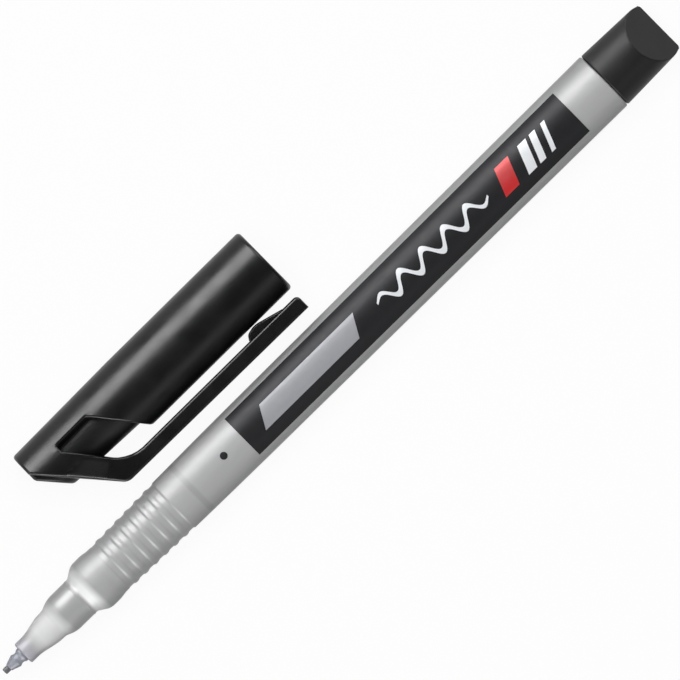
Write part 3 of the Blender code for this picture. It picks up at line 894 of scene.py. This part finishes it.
def sleeve_radius(distance):
    """The sleeve's outer radius at a distance from its closed end, on its tapered part."""
    return CAP_END_RADIUS + (CAP_RADIUS - CAP_END_RADIUS) * distance / CAP_TAPER_LENGTH


def turn(place):
    """The angle round the cap's axis from the clip's side."""
    return math.atan2(place.z, -place.y)


def ties(shape, first, second):
    """Edges from the outer to the inner sheet where two runs of open edges meet, one on each side."""
    ends = {vert for edge in first for vert in edge.verts}
    corners = {vert for edge in second for vert in edge.verts if vert in ends}
    made = []
    for side in (1, -1):
        made.append(shape.edges.new([vert for vert in corners if vert.co.z * side > 0]))
    return made


def outer_edges(edges):
    """Those of the edges that lie on the sleeve's outer sheet."""
    return [edge for edge in edges
            if all(math.hypot(vert.co.y, vert.co.z) > SHEET_SPLIT for vert in edge.verts)]


def close_cap_end(shape):
    """Cut the tube's end flat and slanted, and close both cuts between its sheets."""
    split(shape, shape.faces[:], (0, 0, 0), (-1, 0, 0), True)
    split(shape, shape.faces[:], (END_SLANT_X, 0, 0), END_OUT, True)
    rim = open_edges(shape)
    flat = [edge for edge in rim if lies_on(edge, (0, 0, 0), (1, 0, 0))]
    slant = [edge for edge in rim if edge not in flat]
    creases = ties(shape, flat, slant)
    for side in (flat, slant):
        bmesh.ops.edgeloop_fill(shape, edges=side + creases)
    soften(shape, outer_edges(rim) + creases, RIM_EDGE)


def corner_planes(corner, first, second, reach, count):
    """Planes along the chords of a rounded corner, square to the sleeve there and facing the corner."""
    out = Vector((0.0, corner.y, corner.z))
    places = [corner + (first * (1 - step / count) ** 2 + second * (step / count) ** 2) * reach
              for step in range(count + 1)]
    planes = []
    for start, end in zip(places, places[1:]):
        normal = (end - start).cross(out).normalized()
        planes.append((start, normal if normal.dot(corner - start) > 0 else -normal))
    return planes


def window_corners(side):
    """The planes that round the window's two upper corners, on one side of the clip's plane."""
    radius = sleeve_radius(WINDOW_BACK_X)
    height = radius * math.cos(WINDOW_TURN)
    depth = radius * math.sin(WINDOW_TURN) * side
    along = Vector((1.0, 0.0, 0.0))
    down = Vector((0.0, -depth, -height)).normalized() * side
    lean = (down + along * (-down.y / math.tan(WINDOW_SLANT))).normalized()
    front = Vector((slant_x(WINDOW_SLANT_X, height, WINDOW_SLANT), -height, depth))
    back = Vector((WINDOW_BACK_X, -height, depth))
    half_turn = math.acos(lean.dot(-along)) / 2
    return (corner_planes(front, -along, lean, WINDOW_ROUND / math.tan(half_turn), WINDOW_FRONT_CHORDS)
            + corner_planes(back, along, down, WINDOW_ROUND, WINDOW_BACK_CHORDS))


def open_cap_window(shape):
    """Open the window between the slanted leg and the sleeve, right round the clip's side."""
    def within(least, most=WINDOW_TURN, side=0):
        return [face for face in shape.faces
                if least < abs(turn(face.calc_center_median())) < most
                and face.calc_center_median().z * side >= 0
                and abs(face.normal.dot(END_OUT)) < SAME_WAY]

    def behind(faces, planes):
        return [face for face in faces
                if all((face.calc_center_median() - Vector(point)).dot(Vector(normal)) < 0
                       for point, normal in planes)]

    sides = [((WINDOW_SLANT_X, 0, 0), -WINDOW_OUT), ((LEG_SLANT_X, 0, 0), WINDOW_OUT),
             ((WINDOW_BACK_X, 0, 0), (-1, 0, 0))]
    for count, (point, normal) in enumerate(sides):
        split(shape, behind(within(0), sides[:count]), point, normal)
    low, high = WINDOW_TURN - CORNER_TURN, WINDOW_TURN + CORNER_TURN
    front_x = slant_x(WINDOW_SLANT_X, sleeve_radius(WINDOW_BACK_X) * math.cos(WINDOW_TURN), WINDOW_SLANT)
    for limit in (WINDOW_BACK_X - CORNER_SPARE, WINDOW_BACK_X + CORNER_SPARE,
                  front_x - CORNER_SPARE, front_x + CORNER_SPARE):
        split(shape, within(low, high), (limit, 0, 0), (1, 0, 0))
    kept = set()
    for side in (1, -1):
        planes = window_corners(side)
        for point, normal in planes:
            split(shape, behind(within(low, side=side), sides), point, normal)
        near = behind(within(low, side=side), sides)
        kept.update(set(near).difference(behind(near, planes)))
    lost = [face for face in behind(within(0), sides) if face not in kept]
    bmesh.ops.delete(shape, geom=lost, context="FACES")
    round_about = {face for corner in kept for edge in corner.edges for face in edge.link_faces}
    bmesh.ops.dissolve_faces(shape, faces=list(round_about), use_verts=False)
    drop_short(shape, in_order({vert for edge in open_edges(shape) for vert in edge.verts}))
    rim = open_edges(shape)
    bmesh.ops.bridge_loops(shape, edges=rim)
    soften(shape, outer_edges(rim), WINDOW_EDGE)


def cap_shell():
    """The cap's outer sleeve: a tube with length to spare at its closed end, which is cut to shape."""
    slope = (CAP_RADIUS - CAP_END_RADIUS) / CAP_TAPER_LENGTH
    pocket_slope = (POCKET_RADIUS - POCKET_END_RADIUS) / POCKET_X
    corners = [
        (-CAP_SPARE, CAP_END_RADIUS - slope * CAP_SPARE, 0.0),
        (CAP_TAPER_LENGTH, CAP_RADIUS, 0.0),
        (CAP_LENGTH, CAP_RADIUS, MOUTH_CUT),
        (CAP_LENGTH, CAP_BORE, MOUTH_BORE_CUT),
        (POCKET_X, CAP_BORE, 0.0),
        (POCKET_X, POCKET_RADIUS, 0.0),
        (-CAP_SPARE, POCKET_END_RADIUS - pocket_slope * CAP_SPARE, 0.0),
    ]
    shape = turned(corners, CAP_STEPS)
    close_cap_end(shape)
    open_cap_window(shape)
    made = piece("cap_outer_sleeve", shape, CAP_FINISH, TO_CAP)
    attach(made, "cap")
    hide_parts("cap_shell")


def inner_cap():
    """The core that shows in the window and past the slanted end, hollow for the nose."""
    slope = (THIMBLE_RADIUS - THIMBLE_END_RADIUS) / THIMBLE_END
    corners = [
        (THIMBLE_FLOOR_X, THIMBLE_BORE, 0.0),
        (THIMBLE_END, THIMBLE_BORE, THIMBLE_CUT),
        (THIMBLE_END, THIMBLE_RADIUS, THIMBLE_CUT),
        (-CAP_SPARE, THIMBLE_END_RADIUS - slope * CAP_SPARE, 0.0),
    ]
    shape = turned(corners, CAP_STEPS)
    close_ends(shape)
    cut_away(shape, (0, 0, 0), (-1, 0, 0))
    cut_away(shape, (THIMBLE_SLANT_X, 0, 0), END_OUT)
    rim = [edge for edge in shape.edges if lies_on(edge, (0, 0, 0), (1, 0, 0))
           or lies_on(edge, (THIMBLE_SLANT_X, 0, 0), END_OUT)]
    soften(shape, rim, THIMBLE_EDGE)
    made = piece("inner_cap_core", shape, SEAL_FINISH, TO_CAP)
    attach(made, "cap")
    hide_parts("inner_cap")


# Clip


def leg_half_width(distance, height):
    """The clip's half width: it leaves the sleeve's round smoothly and narrows evenly up to the arm."""
    radius = sleeve_radius(distance)
    start = radius * math.sin(LEG_LEAN)
    if height < start:
        sunk = (FOOT_SINK + FOOT_LIFT) * (start - height) / (start - CLIP_ROOT)
        return math.sqrt(radius ** 2 - height ** 2) + FOOT_LIFT - sunk
    past = max(0.0, distance - slant_x(LEG_SLANT_X, height, WINDOW_SLANT))
    half = radius / math.cos(LEG_LEAN) + FOOT_LIFT - (height + past) * math.tan(LEG_LEAN)
    return CLIP_HALF_WIDTH + LEG_SOFTNESS * math.log1p(math.exp((half - CLIP_HALF_WIDTH) / LEG_SOFTNESS))


def plate(corners, half_width):
    """A flat bar of an outline seen from above, of the same thickness on both sides of the axis."""
    shape = wire(corners, (0, -1, 0), closed=True)
    bmesh.ops.contextual_create(shape, geom=shape.edges[:])
    bmesh.ops.translate(shape, verts=shape.verts[:], vec=(0, 0, -half_width))
    sheet = bmesh.ops.extrude_face_region(shape, geom=shape.faces[:])["geom"]
    bmesh.ops.translate(shape, verts=[item for item in sheet if isinstance(item, bmesh.types.BMVert)],
                        vec=(0, 0, 2 * half_width))
    merge(shape)
    return shape


def cut_rows(shape, start, end, count):
    """Cut a plate square across into rows of one length between two distances."""
    for step in range(1, count):
        split(shape, shape.faces[:], (start + (end - start) * step / count, 0, 0), (1, 0, 0))


def face_edges(shape, root):
    """The edges between a plate's two flat faces and its sides, but for those along its root."""
    return [edge for edge in shape.edges
            if sum(abs(face.normal.z) > FLAT_SIDE for face in edge.link_faces) == 1
            and any(-vert.co.y > root + ON_PLANE for vert in edge.verts)]


def cut_clip(shape):
    """Cut the clip's plate into strips: across the leg, like a fan at its fillet, and across the arm."""
    along = Vector((math.cos(WINDOW_SLANT), -math.sin(WINDOW_SLANT), 0.0))
    fillet_x = slant_x(LEG_SLANT_X - CLIP_SETBACK, ARM_INNER, WINDOW_SLANT) + LEG_FILLET_CUT
    fillet_radius = LEG_FILLET_CUT / math.tan(WINDOW_SLANT / 2)
    middle = Vector((fillet_x, fillet_radius - ARM_INNER, 0.0))
    for step in range(ROUND_SEGMENTS + 1):
        lean = WINDOW_SLANT * (1 - step / ROUND_SEGMENTS)
        split(shape, shape.faces[:], middle, (math.cos(lean), -math.sin(lean), 0.0))
    for step in range(1, LEG_ROWS):
        split(shape, shape.faces[:], middle - along * step * LEG_SPACING, along)
    cut_rows(shape, fillet_x, ARM_END, ARM_ROWS)
    for step in range(1, LEG_STRIPS):
        leg = [face for face in shape.faces if (face.calc_center_median() - middle).dot(along) < 0]
        foot = END_SLANT_X + (LEG_SLANT_X - END_SLANT_X) * step / LEG_STRIPS
        split(shape, leg, (foot, 0, 0), WINDOW_OUT)
    drop_short(shape, shape.verts)


def clip():
    """The slanted leg and the straight arm, in one plate that widens to the sleeve at its foot."""
    outer_foot = END_SLANT_X + CLIP_SETBACK
    inner_foot = LEG_SLANT_X - CLIP_SETBACK
    corners = [
        (slant_x(outer_foot, CLIP_ROOT, END_SLANT), CLIP_ROOT, 0.0),
        (slant_x(outer_foot, ARM_OUTER, END_SLANT), ARM_OUTER, ARM_CORNER_CUT),
        (ARM_END, ARM_TIP_OUTER, 0.0),
        (ARM_END, ARM_INNER, ARM_TIP_CUT),
        (slant_x(inner_foot, ARM_INNER, WINDOW_SLANT), ARM_INNER, LEG_FILLET_CUT),
        (slant_x(inner_foot, CLIP_ROOT, WINDOW_SLANT), CLIP_ROOT, 0.0),
    ]
    shape = plate(corners, CLIP_HALF_WIDTH)
    cut_clip(shape)
    soften(shape, face_edges(shape, CLIP_ROOT), CLIP_EDGE)
    for vert in shape.verts:
        vert.co.z *= leg_half_width(vert.co.x, -vert.co.y) / CLIP_HALF_WIDTH
    made = piece("clip_arm", shape, CLIP_FINISH, TO_CAP)
    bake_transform(made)
    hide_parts("clip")


def clip_nub():
    """The nub under the arm: a short front wall, a crest and a long slope to the arm's tip."""
    corners = [
        (NUB_X, ARM_INNER + NUB_ROOT, 0.0),
        (NUB_X, ARM_INNER - NUB_STEP, NUB_STEP_CUT),
        (NUB_WALL_X, NUB_WALL, NUB_WALL_CUT),
        (NUB_CREST_X, NUB_CREST, NUB_CREST_CUT),
        (NUB_END, ARM_INNER, NUB_END_CUT),
        (NUB_END, ARM_INNER + NUB_ROOT, 0.0),
    ]
    shape = plate(corners, NUB_HALF_WIDTH)
    cut_rows(shape, NUB_X, NUB_END, NUB_ROWS)
    drop_short(shape, shape.verts)
    soften(shape, face_edges(shape, 0), NUB_EDGE)
    made = piece("clip_nub", shape, CLIP_FINISH, TO_CAP)
    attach(made, "clip")


# Stage, in metres, with the sky's tones as heights and greys and the camera's lens in millimetres

FLOOR_RADIUS = 30.0
FLOOR_SIDES = 64
FLOOR_DIM = (0.18, 0.18, 0.18)
FLOOR_WHITE = (0.9, 0.9, 0.9)
FLOOR_GLOW_SHARE = 0.93
SKY_TONES = ((0.15, 0.25), (0.8, 0.15))
VIEW_WIDTH = 0.10126
VIEW_MIDDLE = Vector((0.00179, -0.008455))
VIEW_TURN = math.radians(-44.6)
LENS = 1000.0
SENSOR = 36.0


def floor_finish():
    """White to the eye and in reflections, and dimmer as a source of light on the object."""
    finish = Finish("white_floor")
    finish.shader.inputs["Roughness"].default_value = 1.0
    finish.shader.inputs["Specular IOR Level"].default_value = 0.0
    path = finish.add("ShaderNodeLightPath")
    seen = path.outputs["Is Camera Ray"]
    for label in ("Is Glossy Ray", "Is Transmission Ray"):
        seen = finish.combine("MAXIMUM", seen, path.outputs[label])
    finish.feed("Base Color", finish.mix(seen, FLOOR_DIM, FLOOR_WHITE))
    glow = finish.add("ShaderNodeEmission")
    mixed = finish.add("ShaderNodeMixShader")
    finish.link(finish.spread(seen, 0.0, FLOOR_GLOW_SHARE), mixed.inputs["Fac"])
    finish.link(finish.shader.outputs["BSDF"], mixed.inputs[1])
    finish.link(glow.outputs["Emission"], mixed.inputs[2])
    finish.link(mixed.outputs["Shader"], finish.tree.nodes["Material Output"].inputs["Surface"])
    return finish.material


def floor():
    """A wide white floor that keeps a soft shadow."""
    shape = bmesh.new()
    bmesh.ops.create_circle(shape, cap_ends=True, segments=FLOOR_SIDES, radius=FLOOR_RADIUS)
    mesh = bpy.data.meshes.new("floor")
    shape.to_mesh(mesh)
    shape.free()
    mesh.materials.append(floor_finish())
    made = bpy.data.objects.new("floor", mesh)
    bpy.context.scene.collection.objects.link(made)


def world():
    """A pale surround that darkens towards the top, as over a table with soft boxes round it."""
    made = bpy.data.worlds.new("studio")
    bpy.context.scene.world = made
    made.use_nodes = True
    tree = made.node_tree
    place = tree.nodes.new("ShaderNodeTexCoord")
    axes = tree.nodes.new("ShaderNodeSeparateXYZ")
    ramp = tree.nodes.new("ShaderNodeValToRGB")
    for element, (height, grey) in zip(ramp.color_ramp.elements, SKY_TONES):
        element.position = height
        element.color = (grey, grey, grey, 1.0)
    tree.links.new(place.outputs["Generated"], axes.inputs["Vector"])
    tree.links.new(axes.outputs["Z"], ramp.inputs["Fac"])
    tree.links.new(ramp.outputs["Color"], tree.nodes["Background"].inputs["Color"])


def soft_box(name, place, width, height, radiance, diffuse=True, glossy=True):
    """A rectangular lamp that faces the object, with the radiance of its lit face."""
    lamp = bpy.data.lights.new(name, "AREA")
    lamp.shape = "RECTANGLE"
    lamp.size = width
    lamp.size_y = height
    lamp.energy = radiance * math.pi * width * height
    made = bpy.data.objects.new(name, lamp)
    made.location = place
    made.rotation_euler = (-Vector(place)).to_track_quat("-Z", "Y").to_euler()
    made.visible_diffuse = diffuse
    made.visible_glossy = glossy
    bpy.context.scene.collection.objects.link(made)


def lamps():
    """A soft lamp overhead for the even light, and lamps round it that only show as highlights."""
    soft_box("overhead", (0.0, 0.08, 0.6), width=0.5, height=0.5, radiance=4.1, glossy=False)
    soft_box("key_cap_side", (0.0, 0.42, 0.31), width=0.36, height=0.34, radiance=19.0, diffuse=False)
    soft_box("nose_side", (-0.5, 0.0, 0.22), width=1.0, height=0.16, radiance=10.0, diffuse=False)
    soft_box("tail_side", (0.4, 0.26, 0.2), width=0.3, height=0.2, radiance=12.0, diffuse=False)
    soft_box("far_side", (0.0, -0.42, 0.27), width=0.5, height=0.2, radiance=1.5, diffuse=False)
    soft_box("nose_far_side", (-0.4, -0.38, 0.11), width=0.4, height=0.14, radiance=18.0, diffuse=False)


def camera():
    """A long lens straight above, turned so that the pen runs from the lower left to the upper right."""
    lens = bpy.data.cameras.new("camera")
    lens.lens = LENS
    lens.sensor_width = SENSOR
    made = bpy.data.objects.new("camera", lens)
    made.location = (VIEW_MIDDLE.x, VIEW_MIDDLE.y, PEN_PLACE.z + VIEW_WIDTH * LENS / SENSOR)
    made.rotation_euler = (0.0, 0.0, VIEW_TURN)
    bpy.context.scene.collection.objects.link(made)
    bpy.context.scene.camera = made


barrel()
nib()
nib_sleeve()
rear_plug()
print_panel()
print_design()
cap_shell()
inner_cap()
clip()
clip_nub()
for node, material in (("ink_reservoir", CORE_FINISH), ("reservoir_film", FILM_FINISH)):
    slots = frame["nodes"][node].data.materials
    slots.clear()
    slots.append(material)
floor()
world()
lamps()
camera()
bpy.context.scene.view_settings.view_transform = "Standard"
